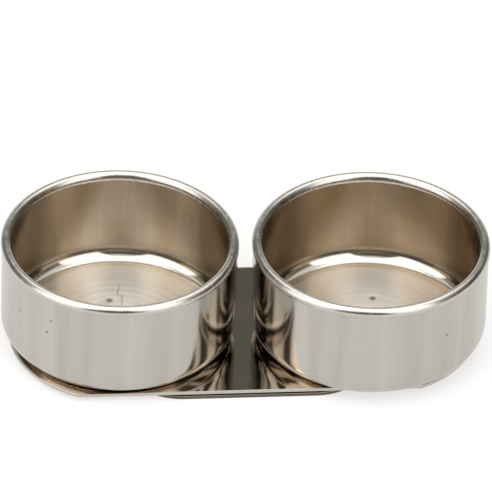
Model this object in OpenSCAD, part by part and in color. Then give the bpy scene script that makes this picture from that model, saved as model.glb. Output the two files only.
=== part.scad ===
// Double palette dipper: two drawn steel cups spot-welded to one long plate with
// rounded ends, whose tongue is folded under it as a sprung clip.
// The cups stand in a row along X, the clip opens to the front (-Y), +Z is up.
// The origin is midway between the cups, on the face that the part rests on.

/* [Cups] */
// Diameter over the rolled rim of a cup
cup_d = 38; // [24:0.5:80]
// Height of a cup, from its underside to the top of its rim
cup_h = 17.7; // [12:0.1:40]
// Thickness of the sheet that a cup is drawn from
cup_t = 0.4; // [0.3:0.05:0.5]
// Outside radius where the wall of a cup turns into its floor
corner_r = 3.2; // [1.5:0.1:5]
// Clear space between the two rims
cup_gap = 2; // [0.5:0.1:12]

/* [Rolled rim] */
// Outside diameter of the bead that is rolled inwards round the rim
bead_d = 1.75; // [1.5:0.05:2.6]
// How far the bead stands out past the wall under it
bead_proud = 0.2; // [0:0.05:0.3]
// Angle by which the rolled edge stops short of the bottom of the bead, degrees
curl_short = 12; // [0:1:60]

/* [Base plate] */
// Thickness of the sheet of the base plate and its clip
plate_t = 0.6; // [0.4:0.05:1]
// How far the straight sides of the plate reach past the flat floors of the cups
plate_lip = 0.6; // [0:0.1:2]
// How much smaller the radius of the plate's rounded ends is than that of a cup's wall
end_inset = 0.75; // [0:0.05:2]
// How far the centre of each rounded end lies inwards of the axis of its cup
end_shift = 0.55; // [0:0.05:2]
// Turn of the plate under the row of cups, as it was welded, degrees
plate_turn = 3.1; // [0:0.1:5]
// Sideways shift of the plate under the cups, as it was welded
plate_shift_x = 0; // [-1:0.05:1]
// Front to back shift of the plate under the cups, as it was welded
plate_shift_y = -0.15; // [-1:0.05:1]

/* [Clip] */
// Width of the folded tongue
clip_w = 39; // [20:0.5:48]
// Gap between the plate and the leaf while nothing is clipped
clip_gap = 0.3; // [0.2:0.05:3]
// Radius of the two corners at the free end of the leaf
leaf_corner_r = 9; // [0.5:0.5:9.5]
// How far the free end of the leaf stops short of the front edge of the plate
leaf_short = 0; // [0:0.1:6]

/* [Spot welds] */
// Diameter of a weld nugget
nugget_d = 2.2; // [1.5:0.1:4]
// How deep a nugget reaches into each of the two sheets
nugget_reach = 0.15; // [0.05:0.01:0.15]
// Distance of each weld from the middle of its cup, front and back
weld_y = 7.4; // [4:0.1:9]
// Diameter of the shallow mark that the welding tip leaves on a sheet
mark_d = 2.6; // [2:0.1:4]
// Depth of that mark
mark_depth = 0.06; // [0.02:0.01:0.08]

/* [Hidden] */
$fn = 96;

// A cutter runs this far past the face that it cuts
over = 1;

// Cup: radii are measured from the axis of the cup
rim_r = cup_d / 2;
wall_r = rim_r - bead_proud;
floor_r = wall_r - corner_r;
bead_r = bead_d / 2;
bead_x = rim_r - bead_r;
bead_z = cup_h - bead_r;
// The wall ends inside the sheet of the bead, halfway through its thickness
roll_mid_r = bead_r - cup_t / 2;
wall_mid_x = wall_r - cup_t / 2 - bead_x;
wall_top = bead_z - sqrt(pow(roll_mid_r, 2) - pow(wall_mid_x, 2));
pitch = cup_d + cup_gap;

// Heights, upwards from the face that the part rests on
leaf_t = plate_t;
plate_z = leaf_t + clip_gap;
seat_z = plate_z + plate_t;

// Plate, before it is turned and shifted under the cups
plate_r = floor_r + plate_lip;
end_r = wall_r - end_inset;
end_x = pitch / 2 - end_shift;
fold_out = seat_z / 2;
fold_in = clip_gap / 2;

// A shallow mark is the cap of a sphere of this radius, held inside a short cylinder
mark_ball = (pow(mark_d / 2, 2) + pow(mark_depth, 2)) / (2 * mark_depth);
mark_room = 2 * mark_d;

// Outline of a cup without its rim: a corner arc between a flat floor and a straight wall
module cup_outline(r, corner, top) {
    square([r - corner, top]);
    translate([0, corner]) square([r, top - corner]);
    intersection() {
        translate([r - corner, corner]) circle(corner);
        square([r, corner]);
    }
}

// Half section of the sheet, floor and wall
module sheet_section() {
    difference() {
        cup_outline(wall_r, corner_r, wall_top);
        translate([0, cup_t]) cup_outline(wall_r - cup_t, corner_r - cup_t, wall_top);
    }
}

// Half section of the rolled bead: a tube left open between its rolled edge and the wall
module bead_section() {
    edge = [-sin(curl_short), -cos(curl_short)] * (bead_r + over) / cos(curl_short);
    slot_x = wall_r - cup_t - bead_x;
    translate([bead_x, bead_z]) {
        difference() {
            circle(bead_r);
            circle(bead_r - cup_t);
            polygon([[0, 0], edge, [slot_x, edge[1]], [slot_x, 0]]);
        }
    }
}

// Places its children at the two welds of the cup whose axis is at x
module at_welds(x) {
    for (side = [-1, 1]) {
        translate([x, side * weld_y, 0]) children();
    }
}

// The volume of one nugget, and the cutter for its place in the sheets
module nugget() {
    translate([0, 0, seat_z - nugget_reach]) cylinder(d = nugget_d, h = 2 * nugget_reach);
}

// Cutter for the welding mark in the floor of a cup, above its weld
module floor_mark() {
    translate([0, 0, seat_z + cup_t]) {
        intersection() {
            translate([0, 0, mark_ball - mark_depth]) sphere(mark_ball);
            cylinder(d = mark_room, h = 2 * over, center = true);
        }
    }
}

// Cutter for the welding mark in the underside of the plate, below its weld
module plate_mark() {
    translate([0, 0, plate_z]) {
        intersection() {
            translate([0, 0, mark_depth - mark_ball]) sphere(mark_ball);
            cylinder(d = mark_room, h = 2 * over, center = true);
        }
    }
}

// Drawn cup with its rolled rim, on the axis at x
module cup(x) {
    difference() {
        translate([x, 0, seat_z]) {
            rotate_extrude() {
                sheet_section();
                bead_section();
            }
        }
        at_welds(x) nugget();
        at_welds(x) floor_mark();
    }
}

module left_cup() {
    color("gainsboro") cup(-pitch / 2);
}

module right_cup() {
    color("gainsboro") cup(pitch / 2);
}

// Moves what lies along X to where the plate was welded
module plate_place() {
    translate([plate_shift_x, plate_shift_y, 0]) rotate([0, 0, plate_turn]) children();
}

// Outline of the plate: a racetrack cut down by the strip that it was blanked from
module plate_outline() {
    intersection() {
        square([2 * (end_x + end_r + over), 2 * plate_r], center = true);
        union() {
            square([2 * end_x, 2 * end_r], center = true);
            for (side = [-1, 1]) {
                translate([side * end_x, 0]) circle(end_r);
            }
        }
    }
}

// Half tube along X that carries the sheet round the rear edge of the plate
module fold() {
    translate([-clip_w / 2, plate_r, fold_out]) {
        rotate([90, 0, 90]) {
            linear_extrude(clip_w) {
                intersection() {
                    difference() {
                        circle(fold_out);
                        circle(fold_in);
                    }
                    translate([0, -fold_out]) square(2 * fold_out);
                }
            }
        }
    }
}

module base_plate() {
    color("darkgray") {
        difference() {
            plate_place() {
                translate([0, 0, plate_z]) linear_extrude(plate_t) plate_outline();
                fold();
            }
            for (x = [-pitch / 2, pitch / 2]) {
                at_welds(x) nugget();
                at_welds(x) plate_mark();
            }
        }
    }
}

// Flat leaf with two round corners at its free end
module leaf_outline() {
    tip_y = -plate_r + leaf_short;
    round_x = clip_w / 2 - leaf_corner_r;
    translate([-clip_w / 2, tip_y + leaf_corner_r]) square([clip_w, plate_r - tip_y - leaf_corner_r]);
    translate([-round_x, tip_y]) square([2 * round_x, 2 * leaf_corner_r]);
    for (side = [-1, 1]) {
        translate([side * round_x, tip_y + leaf_corner_r]) circle(leaf_corner_r);
    }
}

module clip_leaf() {
    color("silver") plate_place() linear_extrude(leaf_t) leaf_outline();
}

module left_welds() {
    color("dimgray") at_welds(-pitch / 2) nugget();
}

module right_welds() {
    color("dimgray") at_welds(pitch / 2) nugget();
}

left_cup();
right_cup();
base_plate();
clip_leaf();
left_welds();
right_welds();
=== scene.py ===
"""Double palette dipper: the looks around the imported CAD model.

Two drawn steel cups with rolled rims stand on one long plate with rounded ends, whose tongue is folded
under it as a sprung leaf. The file is laid out as an add-on and is run as a script. Lengths are in metres
and angles in radians, except where a name ends in _mm, and pixels are those of the photograph's frame.
"""

import math

import bmesh
import bpy
from mathutils import Matrix, Vector
from mathutils.bvhtree import BVHTree


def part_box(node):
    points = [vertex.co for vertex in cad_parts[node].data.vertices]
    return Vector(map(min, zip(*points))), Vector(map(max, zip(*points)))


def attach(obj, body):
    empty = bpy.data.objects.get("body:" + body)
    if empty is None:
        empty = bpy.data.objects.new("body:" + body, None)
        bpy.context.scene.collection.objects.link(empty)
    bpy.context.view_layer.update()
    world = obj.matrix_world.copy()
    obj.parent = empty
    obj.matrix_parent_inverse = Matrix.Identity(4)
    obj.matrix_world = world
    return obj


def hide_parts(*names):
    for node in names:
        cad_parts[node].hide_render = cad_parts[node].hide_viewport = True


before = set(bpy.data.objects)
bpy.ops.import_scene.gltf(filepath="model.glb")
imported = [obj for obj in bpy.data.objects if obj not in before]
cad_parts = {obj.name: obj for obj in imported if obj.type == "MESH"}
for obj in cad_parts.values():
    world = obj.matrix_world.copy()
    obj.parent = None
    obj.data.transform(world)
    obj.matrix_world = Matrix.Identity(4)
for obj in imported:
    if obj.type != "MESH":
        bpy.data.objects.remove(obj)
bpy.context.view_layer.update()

bl_info = {
    "name": "Palette dipper",
    "version": (1, 0, 0),
    "blender": (4, 5, 0),
    "location": "3D View > Sidebar > Dipper",
    "description": "Models a double palette dipper around its packed frame",
    "category": "Object",
}

LEFT_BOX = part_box("left_cup")
RIGHT_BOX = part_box("right_cup")
PLATE_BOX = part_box("base_plate")
LEAF_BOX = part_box("clip_leaf")
LEFT_AXIS = (LEFT_BOX[0].x + LEFT_BOX[1].x) / 2
RIGHT_AXIS = (RIGHT_BOX[0].x + RIGHT_BOX[1].x) / 2
SEAT = LEFT_BOX[0].z
MM = 1000

# The turned rings on a cup's floor, in millimetres from its axis: their pitch, a dark one, and their fade
RING_PITCH_MM = 1.46
RING_PHASE_MM = 6.87
RING_FADE_MM = (10.5, 13.5)

# How wide the blends from a cup's floor over its corner to its wall are, in millimetres
FLOOR_TO_CORNER_MM = 1.1
FLOOR_TO_WALL_MM = 1.5
CORNER_TO_WALL_MM = (1.3, 0.3)

# Shares of the floor's white that are its own, and that the lamps light: in the metal, and to the camera
OWN_WHITE = (0.66, 0.6)
LIT_WHITE = (0.25, 0.45)

# The lamps stand this far away, and the floor this far under the part, in metres
LAMP_REACH = 1.0
FLOOR_DROP = 0.00002

# Places in the photograph, in its own pixels: x to the right, y down
FRAME_W = 492
FRAME_H = 492
POINTS = {
    "left_end": (0.3, None),
    "right_end": (490.9, None),
    "top": (None, 169.6),
    "bottom": (None, 399.3),
    "left_cup_right": (240.2, None),
    "right_cup_left": (251.9, None),
    "right_cup_top": (None, 171.5),
    "left_cup_foot": (None, 390.5),
    "right_cup_foot": (None, 391.0),
    "left_stain": (109.5, 300.0),
    "left_crack_top": (119.5, 285.0),
    "left_crack_bend": (117.0, 294.0),
    "left_crack_step": (121.8, 296.0),
    "left_crack_end": (122.0, 305.0),
    "right_stain": (372.6, 298.0),
    "left_speck_high": (20.0, 310.0),
    "left_speck_middle": (51.0, 321.0),
    "left_speck_low": (47.0, 332.0),
    "right_speck": (447.0, 335.0),
}


def srgb(text):
    """Turns an sRGB colour written as #rrggbb into the linear values that Blender works in."""
    channels = [int(text[i:i + 2], 16) / 255 for i in (1, 3, 5)]
    return [c / 12.92 if c <= 0.04045 else ((c + 0.055) / 1.055) ** 2.4 for c in channels]


def length(name, about, default):
    """A length property in metres."""
    return bpy.props.FloatProperty(
        name=name, description=about, default=default, min=0, precision=5, subtype="DISTANCE", unit="LENGTH"
    )


def angle(name, about, degrees):
    """An angle property, whose default is given in degrees."""
    return bpy.props.FloatProperty(
        name=name, description=about, default=math.radians(degrees), subtype="ANGLE", unit="ROTATION"
    )


def colour(name, about, default):
    """A colour property, whose default is written as #rrggbb."""
    return bpy.props.FloatVectorProperty(
        name=name, description=about, default=srgb(default), min=0, max=1, size=3, subtype="COLOR"
    )


def share(name, about, default):
    """A plain number, such as a roughness or a level of light."""
    return bpy.props.FloatProperty(name=name, description=about, default=default, min=0)


class DipperSizes(bpy.types.PropertyGroup):
    """Sizes of the real sheet-metal parts, as the CAD has them."""

    rim_r: length("Rim radius", "Radius over the rolled rim", round(RIGHT_BOX[1].x - RIGHT_BOX[0].x, 4) / 2)
    cup_t: length("Cup sheet", "Thickness of the sheet of a cup", 0.0004)
    corner_r: length("Corner", "Outside radius between wall and floor", 0.0032)
    bead_r: length("Bead", "Outside radius of the rolled bead", 0.000875)
    bead_proud: length("Bead step", "How far the bead stands out past the wall", 0.0002)
    curl_short: angle("Curl", "How far short of the bead's bottom the rolled edge stops", 12)
    mark_r: length("Weld mark", "Radius of the mark of the welding tip", 0.0013)
    mark_depth: length("Weld mark depth", "Depth of that mark", 0.00006)
    plate_t: length("Plate sheet", "Thickness of the sheet of the plate and leaf", 0.0006)
    clip_gap: length("Clip gap", "Gap between the plate and the leaf", 0.0003)
    plate_lip: length("Plate lip", "How far the plate's sides reach past the flat floors of the cups", 0.0006)
    end_inset: length("End inset", "How much smaller the radius of the plate's ends is than a cup's wall", 0.00075)
    end_shift: length("End shift", "How far inwards of its cup's axis an end of the plate has its centre", 0.00055)
    plate_turn: angle("Plate turn", "Turn of the plate under the row of cups", 3.1)
    plate_shift: length("Plate shift", "How far forward the plate lies under the cups", 0.00015)
    clip_w: length("Tongue width", "Width of the folded tongue", 0.039)
    leaf_corner_r: length("Leaf corner", "Radius of the corners at the leaf's free end", 0.009)
    edge_round: length("Edge", "Radius that tumbling leaves on a sheared edge", 0.00006)


class DipperFinish(bpy.types.PropertyGroup):
    """Colours and polish of the steel."""

    outside: colour("Outside steel", "Satin polished outside of the cups", "#cbc7c0")
    outside_rough: share("Outside roughness", "Roughness of the outside of the cups", 0.13)
    wall: colour("Inside wall", "Inside wall of the left cup, warm in tone", "#b9aa97")
    straw: colour("Straw tint", "Patches of stronger straw tint on the inside wall", "#a08458")
    wall_right: colour("Right inside wall", "Inside wall of the right cup, which is browner", "#a9967f")
    wall_rough: share("Inside wall roughness", "Roughness of the inside wall", 0.23)
    # The inside floor's colour, far lighter than the wall's, is painted light from the lamp above
    ground: colour("Inside floor", "Inside floor of the cups", "#ece8e1")
    ground_rough: share("Inside floor roughness", "Roughness of the inside floor", 0.42)
    # The corner's lighter colour is a painted highlight; its smoother roughness is its own finish
    corner: colour("Inside corner", "Corner between wall and floor, brighter than the wall", "#dad6cb")
    corner_rough: share("Inside corner roughness", "Roughness of that corner, which is smoother", 0.13)
    rim: colour("Rim steel", "Bright polished rim", "#d3d0ca")
    rim_rough: share("Rim roughness", "Roughness of the rolled rim", 0.25)
    plate: colour("Plate steel", "Bright rolled sheet of the plate and leaf", "#d3c8bb")
    plate_rough: share("Plate roughness", "Roughness of the rolled sheet", 0.05)
    weld: colour("Weld", "Heat-tinted weld metal", "#7a6753")
    # The leaf's edge colour is darker than its face as a painted shade, for the shadow under the plate's front
    # edge
    edge: colour("Leaf edge", "Sheared edge of the leaf, darker than its face", "#746a62")
    stain: colour("Stain", "Brown stain at a weld mark", "#7a5426")
    crack: colour("Crack", "Dark line of a crack in the polish", "#6b6158")
    speck: colour("Speck", "Dark speck in the outside wall", "#5b5348")
    paper: colour("Paper", "Pale floor of the studio", "#ffffff")
    paper_mirrored: colour("Mirrored paper", "That floor as the steel mirrors it, cooler", "#f6f6f5")


class DipperStudio(bpy.types.PropertyGroup):
    """Camera, lamps and room."""

    distance: length("Camera distance", "From the camera to the point it looks at", 1.5)
    lens: bpy.props.FloatProperty(name="Lens", description="Focal length in millimetres", default=683.0, min=1)
    elevation: angle("Elevation", "Angle of the camera above the floor", 36.65)
    heading: angle("Heading", "Turn of the camera about the vertical, seen from above", -2.41)
    roll: angle("Roll", "Turn of the camera about its own line of sight", 1.81)
    aim: bpy.props.FloatVectorProperty(
        name="Aim", description="Point the camera looks at", default=(0.00054, 0.01124, 0.0095),
        size=3, subtype="TRANSLATION", unit="LENGTH",
    )
    lamp_level: share("Lamp level", "Radiance of the two soft lamps in front, 1 is white", 1.5)
    top_level: share("Top level", "Radiance of the soft lamp above, 1 is white", 1.0)
    room_dark: colour("Dark room", "Unlit parts of the room", "#37322c")
    room_tan: colour("Warm room", "Warm wood and board in the room", "#918577")
    room_front: colour("Front of the room", "What stands beside the camera", "#4a4540")
    room_back: colour("Back of the room", "Wall behind the sweep", "#656760")
    room_pale: colour("Pale room", "The sweep's rise behind the object, and the ceiling", "#eae7e2")


CLASSES = [DipperSizes, DipperFinish, DipperStudio]


def register_class(cls):
    """Adds a class to those that register() hands to Blender."""
    CLASSES.append(cls)
    return cls


# ---------------------------------------------------------------- image points


def camera_frame():
    """The camera's matrix, its shift and its lens, in sensor widths, for the photograph's frame."""
    camera = bpy.context.scene.camera
    data = camera.data
    return camera.matrix_world, data.shift_x, data.shift_y, data.lens / data.sensor_width


def sight_line(x, y):
    """The ray through a place in the photograph: its start and its unit direction."""
    matrix, shift_x, shift_y, zoom = camera_frame()
    long_side = max(FRAME_W, FRAME_H)
    local = Vector((
        x - FRAME_W / 2 + shift_x * long_side, FRAME_H / 2 - y + shift_y * long_side, -long_side * zoom
    ))
    return matrix.translation.copy(), (matrix.to_3x3() @ local).normalized()


def picture_place(point):
    """Where a point of the scene shows in the photograph's frame."""
    matrix, shift_x, shift_y, zoom = camera_frame()
    long_side = max(FRAME_W, FRAME_H)
    local = matrix.inverted() @ point
    reach = long_side * zoom / -local.z
    return (
        local.x * reach + FRAME_W / 2 - shift_x * long_side,
        FRAME_H / 2 + shift_y * long_side - local.y * reach,
    )


def tree_of(pieces):
    """A search tree of finished pieces, which all lie at the origin."""
    verts = []
    faces = []
    for piece in pieces:
        first = len(verts)
        verts += [v.co.copy() for v in piece.data.vertices]
        faces += [[first + i for i in face.vertices] for face in piece.data.polygons]
    return BVHTree.FromPolygons(verts, faces)


def meet(name, tree):
    """Where the sight line of a named point meets the tree, or the place on it nearest to that line."""
    start, way = sight_line(*POINTS[name])
    place = tree.ray_cast(start, way)[0]
    if place is None:
        middle = start + way * bpy.context.scene.dipper_studio.distance
        place = tree.find_nearest(middle)[0]
    return place


def shown_extreme(tree, piece, axis, sign):
    """The picture coordinate of the piece's outermost vertex that shows, along x (0) or y (1)."""
    eye = camera_frame()[0].translation
    places = sorted(
        ((sign * picture_place(v.co)[axis], v.index) for v in piece.data.vertices), reverse=True
    )
    lift = 0.00002
    for reach, index in places:
        point = piece.data.vertices[index].co
        way = (eye - point).normalized()
        if tree.ray_cast(point + way * lift, way)[0] is None:
            return sign * reach
    return None


# ---------------------------------------------------------------- materials


def add_node(tree, kind, settings=None, inputs=None):
    """Adds a shader node with its settings, its input values and its links."""
    node = tree.nodes.new("ShaderNode" + kind)
    for key, value in (settings or {}).items():
        setattr(node, key, value)
    for key, value in (inputs or {}).items():
        if isinstance(value, bpy.types.NodeSocket):
            tree.links.new(value, node.inputs[key])
        else:
            node.inputs[key].default_value = value
    return node


def new_material(name):
    """An empty node material and its tree."""
    material = bpy.data.materials.new(name)
    material.use_nodes = True
    material.node_tree.nodes.clear()
    return material, material.node_tree


def calculate(tree, operation, first, second=0.0):
    """One step of arithmetic."""
    return add_node(tree, "Math", {"operation": operation}, {0: first, 1: second}).outputs[0]


def ramp(tree, value, low, high, at_low, at_high, smooth=False):
    """Turns value between low and high into a number between at_low and at_high."""
    kind = "SMOOTHSTEP" if smooth else "LINEAR"
    return add_node(
        tree, "MapRange", {"interpolation_type": kind}, {"Value": value, 1: low, 2: high, 3: at_low, 4: at_high}
    ).outputs[0]


def scaled(tree, vector, factors):
    """A vector or colour multiplied by three factors."""
    return add_node(tree, "VectorMath", {"operation": "MULTIPLY"}, {0: vector, 1: factors}).outputs[0]


def toned(tree, vector, tone):
    """A vector or colour multiplied by one number."""
    return add_node(tree, "VectorMath", {"operation": "SCALE"}, {0: vector, "Scale": tone}).outputs[0]


def blended(tree, share_of_second, first, second):
    """A mix of two colours."""
    inputs = {"Factor": share_of_second}
    for key, value in (("A", first), ("B", second)):
        inputs[key] = value if isinstance(value, bpy.types.NodeSocket) else (*value, 1)
    return add_node(tree, "Mix", {"data_type": "RGBA"}, inputs).outputs["Result"]


def noise(tree, vector, scale, detail=3.0, roughness=0.6):
    """Noise between 0 and 1, with so many waves to the millimetre."""
    inputs = {"Vector": vector, "Scale": scale, "Detail": detail, "Roughness": roughness}
    return add_node(tree, "TexNoise", None, inputs).outputs["Fac"]


def bumped(tree, height, strength, normal=None):
    """A bump of a hundredth of a millimetre, at most."""
    inputs = {"Strength": strength, "Distance": 0.00001, "Height": height}
    if normal is not None:
        inputs["Normal"] = normal
    return add_node(tree, "Bump", None, inputs).outputs[0]


def in_mm(point, axis_x):
    """A point as the cup coordinates have it: millimetres from the axis of the cup and from its seat."""
    return ((point.x - axis_x) * MM, point.y * MM, (point.z - SEAT) * MM)


def sheet_coordinates(tree):
    """Millimetres in the object's own frame."""
    spot = add_node(tree, "TexCoord")
    return add_node(tree, "Mapping", None, {"Vector": spot.outputs["Object"], "Scale": (MM,) * 3}).outputs[0]


def cup_coordinates(tree, axis_x):
    """Millimetres from the axis of a cup: position, radius, unit heading and height above the seat."""
    spot = add_node(tree, "TexCoord")
    inputs = {
        "Vector": spot.outputs["Object"], "Location": (-axis_x * MM, 0, -SEAT * MM), "Scale": (MM,) * 3
    }
    place = add_node(tree, "Mapping", {"vector_type": "POINT"}, inputs).outputs[0]
    flat = scaled(tree, place, (1, 1, 0))
    radius = add_node(tree, "VectorMath", {"operation": "LENGTH"}, {0: flat}).outputs["Value"]
    heading = add_node(tree, "VectorMath", {"operation": "NORMALIZE"}, {0: flat}).outputs[0]
    height = add_node(tree, "SeparateXYZ", None, {0: place}).outputs["Z"]
    return place, radius, heading, height


def round_tangent(tree, heading):
    """The direction along the turned grooves, level and square to the heading."""
    return add_node(tree, "VectorMath", {"operation": "CROSS_PRODUCT"}, {0: (0, 0, 1), 1: heading}).outputs[0]


def grooves(tree, radius, heading, height, pitch_mm, drift):
    """Noise in rings round the axis: one groove every pitch_mm along the profile, changing slowly round it."""
    along = calculate(tree, "DIVIDE", calculate(tree, "ADD", radius, height), pitch_mm)
    ring = add_node(tree, "CombineXYZ", None, {"Z": along}).outputs[0]
    around = toned(tree, heading, drift)
    both = add_node(tree, "VectorMath", {"operation": "ADD"}, {0: ring, 1: around}).outputs[0]
    return noise(tree, both, 1.0, detail=2.0)


def spot_mask(tree, place, centre, core_mm, edge_mm, most):
    """A round soft spot: most inside core_mm of its centre and nothing past edge_mm."""
    gap = add_node(tree, "VectorMath", {"operation": "DISTANCE"}, {0: place, 1: centre}).outputs["Value"]
    return ramp(tree, gap, core_mm, edge_mm, most, 0.0, smooth=True)


def line_mask(tree, place, start, end, core_mm, edge_mm, most):
    """A soft line between two points of a flat floor."""
    run = Vector((end[0] - start[0], end[1] - start[1], 0))
    reach = add_node(tree, "VectorMath", {"operation": "SUBTRACT"}, {0: place, 1: start}).outputs[0]
    reach = scaled(tree, reach, (1, 1, 0))
    dot = add_node(tree, "VectorMath", {"operation": "DOT_PRODUCT"}, {0: reach, 1: tuple(run)}).outputs["Value"]
    part = add_node(tree, "Math", {"operation": "DIVIDE", "use_clamp": True}, {0: dot, 1: run.length_squared})
    foot = toned(tree, tuple(run), part.outputs[0])
    gap = add_node(tree, "VectorMath", {"operation": "DISTANCE"}, {0: reach, 1: foot}).outputs["Value"]
    return ramp(tree, gap, core_mm, edge_mm, most, 0.0, smooth=True)


def shade_steel(tree, base, roughness, normal, tangent=None, anisotropic=0.0):
    """The metal shader and its output."""
    inputs = {"Base Color": base, "Metallic": 1.0, "Roughness": roughness, "Normal": normal}
    if tangent is not None:
        # A quarter turn, so that highlights spread across the grooves
        inputs.update({"Anisotropic": anisotropic, "Anisotropic Rotation": 0.25, "Tangent": tangent})
    shader = add_node(tree, "BsdfPrincipled", None, inputs)
    add_node(tree, "OutputMaterial", None, {"Surface": shader.outputs[0]})


def satin_outside(axis_x, finish, specks):
    """Drawn stainless steel, buffed: it mirrors softly, with upright draw streaks and a few dark specks."""
    material, tree = new_material("stainless_buffed_outside")
    place, radius, heading, height = cup_coordinates(tree, axis_x)
    fine = grooves(tree, radius, heading, height, pitch_mm=0.12, drift=3.0)
    # Upright streaks, nearly the same from foot to rim: narrow ones from drawing, wide ones from buffing
    upright = scaled(tree, place, (1, 1, 0.06))
    narrow = noise(tree, upright, 0.9, detail=4.0, roughness=0.7)
    wide = noise(tree, upright, 0.22, detail=1.0)
    grain = noise(tree, place, 5.0, detail=3.0)
    narrow_tone = ramp(tree, narrow, 0.3, 0.7, 0.96, 1.03)
    tone = calculate(tree, "ADD", narrow_tone, ramp(tree, wide, 0.35, 0.65, -0.07, 0.05))
    tone = calculate(tree, "ADD", tone, ramp(tree, grain, 0.3, 0.7, -0.035, 0.035))
    base = toned(tree, tuple(finish.outside), tone)
    for speck, size_mm in specks:
        mask = spot_mask(tree, place, in_mm(speck, axis_x), 0.3 * size_mm, size_mm, 0.6)
        base = blended(tree, mask, base, finish.speck)
    low = finish.outside_rough
    rough = ramp(tree, narrow, 0.3, 0.7, low * 0.85, low * 1.15)
    normal = bumped(tree, grain, 0.1, bumped(tree, fine, 0.08))
    shade_steel(tree, base, rough, normal, round_tangent(tree, heading), 0.3)
    return material


def polished_rim(axis_x, finish):
    """Stainless steel, bright where it is rolled: it mirrors softly, with faint lines round it."""
    material, tree = new_material("stainless_bright_rolled_rim")
    place, radius, heading, height = cup_coordinates(tree, axis_x)
    fine = grooves(tree, radius, heading, height, pitch_mm=0.1, drift=4.0)
    wear = noise(tree, place, 0.7)
    base = toned(tree, tuple(finish.rim), ramp(tree, wear, 0.35, 0.65, 0.95, 1.03))
    rough = ramp(tree, wear, 0.35, 0.65, finish.rim_rough * 0.85, finish.rim_rough * 1.15)
    shade_steel(tree, base, rough, bumped(tree, fine, 0.1))
    return material


def turned_inside(axis_x, finish, wall, sizes, ring_sheen_tone, stain, crack):
    """Drawn stainless steel, dull inside: turned rings on the floor, a straw tint, a smoother corner. The floor's
    colour, lighter than the wall's, is painted light from above, the corner's lighter colour is a painted
    highlight, and the rings' tone is a painted sheen.
    """
    material, tree = new_material("stainless_turned_inside")
    place, radius, heading, height = cup_coordinates(tree, axis_x)
    fine = grooves(tree, radius, heading, height, pitch_mm=0.14, drift=2.5)
    cloud = noise(tree, place, 0.16)

    # From the flat floor over the corner to the wall
    floor_r = (sizes.rim_r - sizes.bead_proud - sizes.corner_r) * MM
    corner_top = sizes.corner_r * MM
    past_floor = ramp(tree, radius, floor_r, floor_r + FLOOR_TO_CORNER_MM, 0.0, 1.0)
    under_wall = ramp(tree, height, *(corner_top - drop for drop in CORNER_TO_WALL_MM), 1.0, 0.0)
    corner = calculate(tree, "MULTIPLY", past_floor, under_wall)
    on_floor = ramp(tree, radius, floor_r, floor_r + FLOOR_TO_WALL_MM, 1.0, 0.0)
    # Upright streaks from drawing, and patches of a stronger tint, on the wall alone
    streaks = noise(tree, scaled(tree, place, (1, 1, 0.05)), 0.8, detail=4.0, roughness=0.7)
    patches = noise(tree, scaled(tree, place, (1, 1, 0.3)), 0.13, detail=1.0)
    base = blended(tree, ramp(tree, patches, 0.45, 0.62, 0.0, 0.4, smooth=True), wall, finish.straw)
    base = toned(tree, base, ramp(tree, streaks, 0.3, 0.7, 0.92, 1.06))
    # The floor's lighter colour is painted light from the lamp above, and the corner's is a painted highlight;
    # their roughness below is their own finish
    base = blended(tree, on_floor, base, finish.ground)
    base = blended(tree, corner, base, finish.corner)
    base = toned(tree, base, ramp(tree, cloud, 0.3, 0.7, 0.94, 1.04))

    # Turned rings on the floor: a bump, and a change of tone that is a painted sheen of the grooves; and finer
    # lines all over
    ring_wave = calculate(tree, "SUBTRACT", radius, RING_PHASE_MM)
    ring_wave = calculate(tree, "SINE", calculate(tree, "MULTIPLY", ring_wave, 2 * math.pi / RING_PITCH_MM))
    ring_reach = ramp(tree, radius, *RING_FADE_MM, 1.0, 0.0, smooth=True)
    rings = calculate(tree, "MULTIPLY", ring_wave, ring_reach)
    base = toned(tree, base, ramp(tree, rings, -1.0, 1.0, 1.0 - ring_sheen_tone, 1.0 + ring_sheen_tone))
    lines = grooves(tree, radius, heading, height, pitch_mm=0.7, drift=1.2)
    base = toned(tree, base, ramp(tree, lines, 0.3, 0.75, 0.97, 1.06))

    # The brown stain in the mark, and the dark line like a crack
    base = blended(tree, spot_mask(tree, place, in_mm(stain, axis_x), 0.15, 0.8, 0.85), base, finish.stain)
    for start, end in zip(crack, crack[1:]):
        ends = (in_mm(start, axis_x), in_mm(end, axis_x))
        base = blended(tree, line_mask(tree, place, *ends, 0.0, 0.28, 0.38), base, finish.crack)

    flat_rough = add_node(
        tree, "Mix", None, {"Factor": on_floor, "A": finish.wall_rough, "B": finish.ground_rough}
    ).outputs["Result"]
    rough = add_node(
        tree, "Mix", None, {"Factor": corner, "A": flat_rough, "B": finish.corner_rough}
    ).outputs["Result"]
    normal = bumped(tree, rings, 0.5, bumped(tree, fine, 0.1))
    shade_steel(tree, base, rough, normal, round_tangent(tree, heading), 0.8)
    return material


def bright_sheet(finish):
    """Bright rolled stainless sheet: nearly a mirror, gently wavy, with the mill's lines along it."""
    material, tree = new_material("stainless_bright_sheet")
    place = sheet_coordinates(tree)
    lines = noise(tree, scaled(tree, place, (0.1, 6, 6)), 1.0)
    smear = noise(tree, place, 0.25)
    base = toned(tree, tuple(finish.plate), ramp(tree, smear, 0.3, 0.7, 0.93, 1.03))
    rough = ramp(tree, smear, 0.3, 0.7, finish.plate_rough * 0.8, finish.plate_rough * 1.5)
    shade_steel(tree, base, rough, bumped(tree, lines, 0.04))
    return material


def sheared_edge(name, metal):
    """The sheared edge of the sheet: brighter or darker than its face, with fine upright lines."""
    material, tree = new_material(name)
    place = sheet_coordinates(tree)
    tears = noise(tree, scaled(tree, place, (1, 1, 0.2)), 7.0)
    base = toned(tree, tuple(metal), ramp(tree, tears, 0.3, 0.7, 0.9, 1.05))
    shade_steel(tree, base, ramp(tree, tears, 0.3, 0.7, 0.2, 0.32), bumped(tree, tears, 0.3))
    return material


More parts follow.
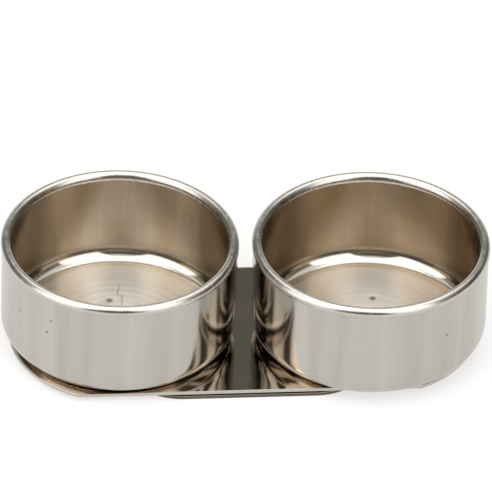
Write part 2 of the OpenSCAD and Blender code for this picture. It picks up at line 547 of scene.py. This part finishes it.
def weld_metal(finish):
    """Steel that has melted and set again: dull, brown from the heat, with a fine grain."""
    material, tree = new_material("stainless_weld_metal")
    grain = noise(tree, sheet_coordinates(tree), 4.0, detail=4.0)
    base = toned(tree, tuple(finish.weld), ramp(tree, grain, 0.3, 0.7, 0.8, 1.1))
    shade_steel(tree, base, ramp(tree, grain, 0.3, 0.7, 0.45, 0.6), bumped(tree, grain, 0.3))
    return material


def studio_paper(finish):
    """White sweep paper: white to the camera, and an even pale grey in the metal."""
    material, tree = new_material("white_paper")
    path = add_node(tree, "LightPath").outputs
    seen = calculate(tree, "MAXIMUM", path["Is Camera Ray"], path["Is Transmission Ray"])
    # Part of its white is its own, so that the lamps beside it don't make it uneven and its shadow stays soft
    own, lit = (
        blended(tree, seen, [mirrored * c for c in finish.paper_mirrored], [direct * c for c in finish.paper])
        for mirrored, direct in (OWN_WHITE, LIT_WHITE)
    )
    shown = calculate(tree, "MAXIMUM", seen, path["Is Glossy Ray"])
    inputs = {
        "Base Color": lit, "Roughness": 0.9, "Specular IOR Level": 0.0,
        "Emission Color": own, "Emission Strength": shown,
    }
    shader = add_node(tree, "BsdfPrincipled", None, inputs)
    add_node(tree, "OutputMaterial", None, {"Surface": shader.outputs[0]})
    return material


def room_light(world, studio):
    """A dim room: dark and tan things at the sides, a dull wall over the sweep's rise, a pale ceiling."""
    world.use_nodes = True
    tree = world.node_tree
    way = add_node(tree, "TexCoord").outputs["Generated"]
    parts = add_node(tree, "SeparateXYZ", None, {0: way}).outputs
    things = noise(tree, scaled(tree, way, (1, 1, 0.35)), 2.6, detail=2.0)
    patches = ramp(tree, things, 0.4, 0.6, 0.0, 1.0, smooth=True)
    to_the_side = ramp(tree, parts["X"], -0.3, 0.5, 1.0, 0.5)
    tan = calculate(tree, "MULTIPLY", patches, to_the_side)
    light = blended(tree, tan, studio.room_dark, studio.room_tan)
    front = ramp(tree, parts["Y"], -0.55, -0.8, 0.0, 1.0, smooth=True)
    light = blended(tree, front, light, studio.room_front)
    back = ramp(tree, parts["Y"], 0.3, 0.65, 0.0, 1.0, smooth=True)
    light = blended(tree, back, light, studio.room_back)
    behind = ramp(tree, parts["Y"], 0.8, 0.94, 0.0, 1.0, smooth=True)
    sweep = calculate(tree, "MULTIPLY", behind, ramp(tree, parts["Z"], 0.44, 0.52, 1.0, 0.0, smooth=True))
    over = ramp(tree, parts["Z"], 0.66, 0.76, 0.0, 1.0, smooth=True)
    light = blended(tree, calculate(tree, "MAXIMUM", sweep, over), light, studio.room_pale)
    # To the camera the room is as white as the sweep, from whichever side it looks
    seen = add_node(tree, "LightPath").outputs["Is Camera Ray"]
    light = blended(tree, seen, light, (1, 1, 1))
    tree.links.new(light, tree.nodes["Background"].inputs["Color"])


# ---------------------------------------------------------------- modelling


def piece_from(bm, name):
    """Makes a finished bmesh an object at the origin, smooth but for its sharp edges and flat sheets."""
    for face in bm.faces:
        face.smooth = len(face.verts) < 5
    for edge in bm.edges:
        edge.smooth = len(edge.link_faces) == 2 and edge.calc_face_angle(0) < math.radians(32)
    mesh = bpy.data.meshes.new(name)
    bm.to_mesh(mesh)
    bm.free()
    piece = bpy.data.objects.new(name, mesh)
    bpy.context.scene.collection.objects.link(piece)
    return piece


def dress(piece, materials):
    """Gives a piece its materials, in the order of its faces' numbers."""
    for material in materials:
        piece.data.materials.append(material)


def draw_line(bm, vert, step, count):
    """Draws a profile on from vert in count equal steps, and returns its new end."""
    for _ in range(count):
        grown = bmesh.ops.extrude_vert_indiv(bm, verts=[vert])
        vert = grown["verts"][0]
        bmesh.ops.translate(bm, verts=[vert], vec=step / count)
    return vert


def draw_arc(bm, vert, centre, turn, steps, axis=(0, -1, 0)):
    """Draws a profile on from vert round centre, and returns its new end."""
    spun = bmesh.ops.spin(bm, geom=[vert], cent=centre, axis=axis, angle=turn, steps=steps, use_duplicate=False)
    return next(item for item in spun["geom_last"] if isinstance(item, bmesh.types.BMVert))


def cup_piece(name, axis_x, sizes):
    """A drawn cup with its rim rolled inwards, from the outline of its outside face."""
    wall_r = sizes.rim_r - sizes.bead_proud
    floor_r = wall_r - sizes.corner_r
    bead = Vector((sizes.rim_r - sizes.bead_r, 0, LEFT_BOX[1].z - sizes.bead_r))
    kink = -math.acos((wall_r - bead.x) / sizes.bead_r)
    kink_z = bead.z + sizes.bead_r * math.sin(kink)

    bm = bmesh.new()
    vert = bm.verts.new((0, 0, SEAT))
    vert = draw_line(bm, vert, Vector((floor_r, 0, 0)), 40)
    vert = draw_arc(bm, vert, Vector((floor_r, 0, SEAT + sizes.corner_r)), math.pi / 2, 12)
    vert = draw_line(bm, vert, Vector((0, 0, kink_z - vert.co.z)), 14)
    draw_arc(bm, vert, bead, 1.5 * math.pi - sizes.curl_short - kink, 30)
    bmesh.ops.spin(
        bm, geom=bm.verts[:] + bm.edges[:], cent=(0, 0, 0), axis=(0, 0, 1),
        angle=2 * math.pi, steps=256, use_merge=True, use_duplicate=False,
    )
    bmesh.ops.remove_doubles(bm, verts=bm.verts[:], dist=1e-7)
    bmesh.ops.recalc_face_normals(bm, faces=bm.faces[:])
    bmesh.ops.solidify(bm, geom=bm.faces[:], thickness=sizes.cup_t)
    bmesh.ops.recalc_face_normals(bm, faces=bm.faces[:])

    # Faces 0 are the outside, 1 the rolled rim and 2 the inside
    for face in bm.faces:
        centre = face.calc_center_median()
        radius = math.hypot(centre.x, centre.y)
        inwards = centre.x * face.normal.x + centre.y * face.normal.y < 0
        if math.hypot(radius - bead.x, centre.z - bead.z) < 1.02 * sizes.bead_r:
            face.material_index = 1
        elif radius < wall_r - 0.6 * sizes.cup_t and (inwards or face.normal.z > 0.5):
            face.material_index = 2
    bmesh.ops.translate(bm, verts=bm.verts[:], vec=(axis_x, 0, 0))
    return piece_from(bm, name)


def press_mark(piece, place, axis_x, sizes):
    """Presses the welding tip's shallow marks into the floor: at place and across the cup from it."""
    across = Vector((2 * axis_x - place.x, -place.y, place.z))
    for vert in piece.data.vertices:
        if abs(vert.co.z - SEAT - sizes.cup_t) < 0.3 * sizes.cup_t:
            for centre in (place, across):
                away = math.hypot(vert.co.x - centre.x, vert.co.y - centre.y) / sizes.mark_r
                if away < 1:
                    vert.co.z -= sizes.mark_depth * (1 - away * away)


def weld_under(bm, sizes):
    """Turns and shifts the sheet to where it was welded under the cups."""
    turn = Matrix.Rotation(sizes.plate_turn, 4, "Z")
    place = Matrix.Translation((0, -sizes.plate_shift, 0)) @ turn
    bmesh.ops.transform(bm, matrix=place, verts=bm.verts[:])


def half_width(sizes):
    """Half the width of the strip that the plate and its tongue are cut from."""
    return sizes.rim_r - sizes.bead_proud - sizes.corner_r + sizes.plate_lip


def sheet_from_outline(bm, low, sizes):
    """Closes the drawn outline, raises it to a sheet and rounds its sheared edges."""
    bmesh.ops.remove_doubles(bm, verts=bm.verts[:], dist=1e-6)
    bmesh.ops.translate(bm, verts=bm.verts[:], vec=(0, 0, low))
    face = bmesh.ops.contextual_create(bm, geom=bm.edges[:])["faces"]
    raised = bmesh.ops.extrude_face_region(bm, geom=face)["geom"]
    verts = [item for item in raised if isinstance(item, bmesh.types.BMVert)]
    bmesh.ops.translate(bm, verts=verts, vec=(0, 0, sizes.plate_t))
    bmesh.ops.recalc_face_normals(bm, faces=bm.faces[:])
    rims = [edge for edge in bm.edges if len({round(face.normal.z) for face in edge.link_faces}) == 2]
    bmesh.ops.bevel(
        bm, geom=rims, offset=sizes.edge_round, offset_type="OFFSET", segments=3, profile=0.5, affect="EDGES"
    )
    for face in bm.faces:
        if abs(face.normal.z) < 0.5:
            face.material_index = 1


def plate_piece(name, sizes):
    """The long plate with rounded ends, and the fold that carries its sheet round to the leaf."""
    wide = half_width(sizes)
    end_r = sizes.rim_r - sizes.bead_proud - sizes.end_inset
    end_x = (RIGHT_AXIS - LEFT_AXIS) / 2 - sizes.end_shift
    corner_x = end_x + math.sqrt(end_r ** 2 - wide ** 2)
    spread = 2 * math.asin(wide / end_r)
    bm = bmesh.new()
    vert = bm.verts.new((-corner_x, -wide, 0))
    for side in (1, -1):
        vert = draw_line(bm, vert, Vector((side * 2 * corner_x, 0, 0)), 48)
        vert = draw_arc(bm, vert, Vector((side * end_x, 0, 0)), spread, 96, axis=(0, 0, 1))
    sheet_from_outline(bm, PLATE_BOX[1].z - sizes.plate_t, sizes)

    # The fold: half a ring in section, along the rear edge
    fold_out = PLATE_BOX[1].z / 2
    fold_in = sizes.clip_gap / 2
    low = bm.verts.new((-sizes.clip_w / 2, wide, 0))
    mouth = bm.verts.new((-sizes.clip_w / 2, wide, fold_out - fold_in))
    edge = bm.edges.new((low, mouth))
    spun = bmesh.ops.spin(
        bm, geom=[edge], cent=(0, wide, fold_out), axis=(1, 0, 0), angle=math.pi, steps=16, use_duplicate=False
    )
    last = [item for item in spun["geom_last"] if isinstance(item, bmesh.types.BMEdge)]
    section = {face for item in last for face in item.link_faces}
    grown = set(section)
    while grown:
        grown = {face for known in section for edge in known.edges for face in edge.link_faces} - section
        section |= grown
    run = bmesh.ops.extrude_face_region(bm, geom=list(section))["geom"]
    verts = [item for item in run if isinstance(item, bmesh.types.BMVert)]
    bmesh.ops.translate(bm, verts=verts, vec=(sizes.clip_w, 0, 0))
    bmesh.ops.recalc_face_normals(bm, faces=bm.faces[:])
    weld_under(bm, sizes)
    return piece_from(bm, name)


def leaf_piece(name, sizes):
    """The flat leaf under the plate, with two wide round corners at its free end."""
    wide = half_width(sizes)
    round_r = sizes.leaf_corner_r
    side_x = sizes.clip_w / 2
    bm = bmesh.new()
    vert = bm.verts.new((-side_x, wide, 0))
    vert = draw_line(bm, vert, Vector((0, round_r - 2 * wide, 0)), 24)
    vert = draw_arc(bm, vert, Vector((round_r - side_x, round_r - wide, 0)), math.pi / 2, 32, axis=(0, 0, 1))
    vert = draw_line(bm, vert, Vector((2 * (side_x - round_r), 0, 0)), 24)
    vert = draw_arc(bm, vert, Vector((side_x - round_r, round_r - wide, 0)), math.pi / 2, 32, axis=(0, 0, 1))
    vert = draw_line(bm, vert, Vector((0, 2 * wide - round_r, 0)), 24)
    draw_line(bm, vert, Vector((-2 * side_x, 0, 0)), 24)
    sheet_from_outline(bm, LEAF_BOX[0].z, sizes)
    weld_under(bm, sizes)
    return piece_from(bm, name)


# ---------------------------------------------------------------- steps


@register_class
class DIPPER_OT_camera(bpy.types.Operator):
    """Place the camera where the photograph was taken from"""

    bl_idname = "dipper.camera"
    bl_label = "Camera"

    def execute(self, context):
        studio = context.scene.dipper_studio
        data = bpy.data.cameras.new("photo_camera")
        data.lens = studio.lens
        data.sensor_fit = "AUTO"
        data.clip_end = 100
        camera = bpy.data.objects.new("photo_camera", data)
        context.scene.collection.objects.link(camera)
        turn = Matrix.Rotation(studio.heading, 4, "Z")
        tilt = Matrix.Rotation(math.pi / 2 - studio.elevation, 4, "X")
        roll = Matrix.Rotation(studio.roll, 4, "Z")
        back = Matrix.Translation((0, 0, studio.distance))
        camera.matrix_world = Matrix.Translation(studio.aim) @ turn @ tilt @ roll @ back
        context.scene.camera = camera
        return {"FINISHED"}


@register_class
class DIPPER_OT_studio(bpy.types.Operator):
    """Lay the pale floor, hang the soft lamps and set the dim room"""

    bl_idname = "dipper.studio"
    bl_label = "Studio"

    def execute(self, context):
        studio = context.scene.dipper_studio
        bm = bmesh.new()
        bmesh.ops.create_grid(bm, x_segments=1, y_segments=1, size=20.0)
        bmesh.ops.translate(bm, verts=bm.verts[:], vec=(0, 0, -FLOOR_DROP))
        floor = piece_from(bm, "floor")
        dress(floor, [studio_paper(context.scene.dipper_finish)])
        for name, level, bearing, rise, wide, tall in (
            ("lamp_left", studio.lamp_level, -56, 30, 0.93, 1.2),
            ("lamp_right", studio.lamp_level, 42, 30, 0.69, 1.2),
            ("lamp_top", studio.top_level, 0, 95.5, 0.95, 1.53),
        ):
            data = bpy.data.lights.new(name, "AREA")
            data.shape = "RECTANGLE"
            data.size = wide
            data.size_y = tall
            data.energy = level * math.pi * wide * tall
            lamp = bpy.data.objects.new(name, data)
            context.scene.collection.objects.link(lamp)
            turn = Matrix.Rotation(math.radians(bearing) + studio.heading, 4, "Z")
            tilt = Matrix.Rotation(math.radians(90 - rise), 4, "X")
            lamp.matrix_world = turn @ tilt @ Matrix.Translation((0, 0, LAMP_REACH))
        context.scene.world = bpy.data.worlds.new("room")
        room_light(context.scene.world, studio)
        context.scene.view_settings.view_transform = "Standard"
        return {"FINISHED"}


@register_class
class DIPPER_OT_left_cup(bpy.types.Operator):
    """Model the left cup, with its stain, its crack and its specks"""

    bl_idname = "dipper.left_cup"
    bl_label = "Left cup"

    def execute(self, context):
        sizes = context.scene.dipper_sizes
        finish = context.scene.dipper_finish
        cup = cup_piece("left_cup_drawn", LEFT_AXIS, sizes)
        tree = tree_of([cup])
        stain = meet("left_stain", tree)
        press_mark(cup, stain, LEFT_AXIS, sizes)
        crack = [meet("left_crack_" + part, tree) for part in ("top", "bend", "step", "end")]
        specks = [
            (meet(name, tree), size_mm)
            for name, size_mm in (("left_speck_high", 0.35), ("left_speck_middle", 0.3), ("left_speck_low", 0.4))
        ]
        dress(cup, [
            satin_outside(LEFT_AXIS, finish, specks), polished_rim(LEFT_AXIS, finish),
            turned_inside(LEFT_AXIS, finish, finish.wall, sizes, 0.05, stain, crack),
        ])
        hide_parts("left_cup")
        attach(cup, "dipper")
        return {"FINISHED"}


@register_class
class DIPPER_OT_right_cup(bpy.types.Operator):
    """Model the right cup, with its stain and its speck"""

    bl_idname = "dipper.right_cup"
    bl_label = "Right cup"

    def execute(self, context):
        sizes = context.scene.dipper_sizes
        finish = context.scene.dipper_finish
        cup = cup_piece("right_cup_drawn", RIGHT_AXIS, sizes)
        tree = tree_of([cup])
        stain = meet("right_stain", tree)
        press_mark(cup, stain, RIGHT_AXIS, sizes)
        dress(cup, [
            satin_outside(RIGHT_AXIS, finish, [(meet("right_speck", tree), 0.35)]),
            polished_rim(RIGHT_AXIS, finish),
            turned_inside(RIGHT_AXIS, finish, finish.wall_right, sizes, 0.02, stain, []),
        ])
        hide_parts("right_cup")
        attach(cup, "dipper")
        return {"FINISHED"}


@register_class
class DIPPER_OT_base_plate(bpy.types.Operator):
    """Model the plate under the cups and its fold"""

    bl_idname = "dipper.base_plate"
    bl_label = "Base plate"

    def execute(self, context):
        finish = context.scene.dipper_finish
        plate = plate_piece("base_plate_sheet", context.scene.dipper_sizes)
        dress(plate, [bright_sheet(finish), sheared_edge("stainless_sheared_edge", finish.rim)])
        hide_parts("base_plate")
        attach(plate, "dipper")
        return {"FINISHED"}


@register_class
class DIPPER_OT_clip_leaf(bpy.types.Operator):
    """Model the sprung leaf under the plate"""

    bl_idname = "dipper.clip_leaf"
    bl_label = "Clip leaf"

    def execute(self, context):
        finish = context.scene.dipper_finish
        leaf = leaf_piece("clip_leaf_sheet", context.scene.dipper_sizes)
        # The leaf's edge takes the darker colour: a painted shade of the shadow under the plate
        dress(leaf, [bright_sheet(finish), sheared_edge("stainless_edge_painted_shade", finish.edge)])
        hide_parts("clip_leaf")
        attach(leaf, "leaf")
        return {"FINISHED"}


@register_class
class DIPPER_OT_welds(bpy.types.Operator):
    """Finish the weld nuggets between the sheets"""

    bl_idname = "dipper.welds"
    bl_label = "Welds"

    def execute(self, context):
        metal = weld_metal(context.scene.dipper_finish)
        for node in ("left_welds", "right_welds"):
            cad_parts[node].material_slots[0].material = metal
        return {"FINISHED"}


STEPS = ("camera", "studio", "left_cup", "right_cup", "base_plate", "clip_leaf", "welds")


@register_class
class DIPPER_PT_panel(bpy.types.Panel):
    """Sidebar panel that lists the steps"""

    bl_label = "Dipper"
    bl_space_type = "VIEW_3D"
    bl_region_type = "UI"
    bl_category = "Dipper"

    def draw(self, context):
        for step in STEPS:
            self.layout.operator("dipper." + step)


def register():
    for cls in CLASSES:
        bpy.utils.register_class(cls)
    bpy.types.Scene.dipper_sizes = bpy.props.PointerProperty(type=DipperSizes)
    bpy.types.Scene.dipper_finish = bpy.props.PointerProperty(type=DipperFinish)
    bpy.types.Scene.dipper_studio = bpy.props.PointerProperty(type=DipperStudio)


def unregister():
    del bpy.types.Scene.dipper_studio
    del bpy.types.Scene.dipper_finish
    del bpy.types.Scene.dipper_sizes
    for cls in reversed(CLASSES):
        bpy.utils.unregister_class(cls)


def write_points():
    """Works out where each named thing shows in the photograph's frame, in x and y, and keeps nothing."""
    left, right, plate, leaf = (
        bpy.data.objects[name]
        for name in ("left_cup_drawn", "right_cup_drawn", "base_plate_sheet", "clip_leaf_sheet")
    )
    tree = tree_of([left, right, plate, leaf])
    found = {
        "left_end": (shown_extreme(tree, left, 0, -1), None),
        "right_end": (shown_extreme(tree, right, 0, 1), None),
        "top": (None, shown_extreme(tree, left, 1, -1)),
        "bottom": (None, shown_extreme(tree, leaf, 1, 1)),
        "left_cup_right": (shown_extreme(tree, left, 0, 1), None),
        "right_cup_left": (shown_extreme(tree, right, 0, -1), None),
        "right_cup_top": (None, shown_extreme(tree, right, 1, -1)),
        "left_cup_foot": (None, shown_extreme(tree, left, 1, 1)),
        "right_cup_foot": (None, shown_extreme(tree, right, 1, 1)),
    }
    for name in POINTS:
        if name not in found:
            found[name] = picture_place(meet(name, tree))


def main():
    """Makes the whole scene around the frame."""
    register()
    for step in STEPS:
        getattr(bpy.ops.dipper, step)()
    write_points()


if __name__ == "__main__":
    main()
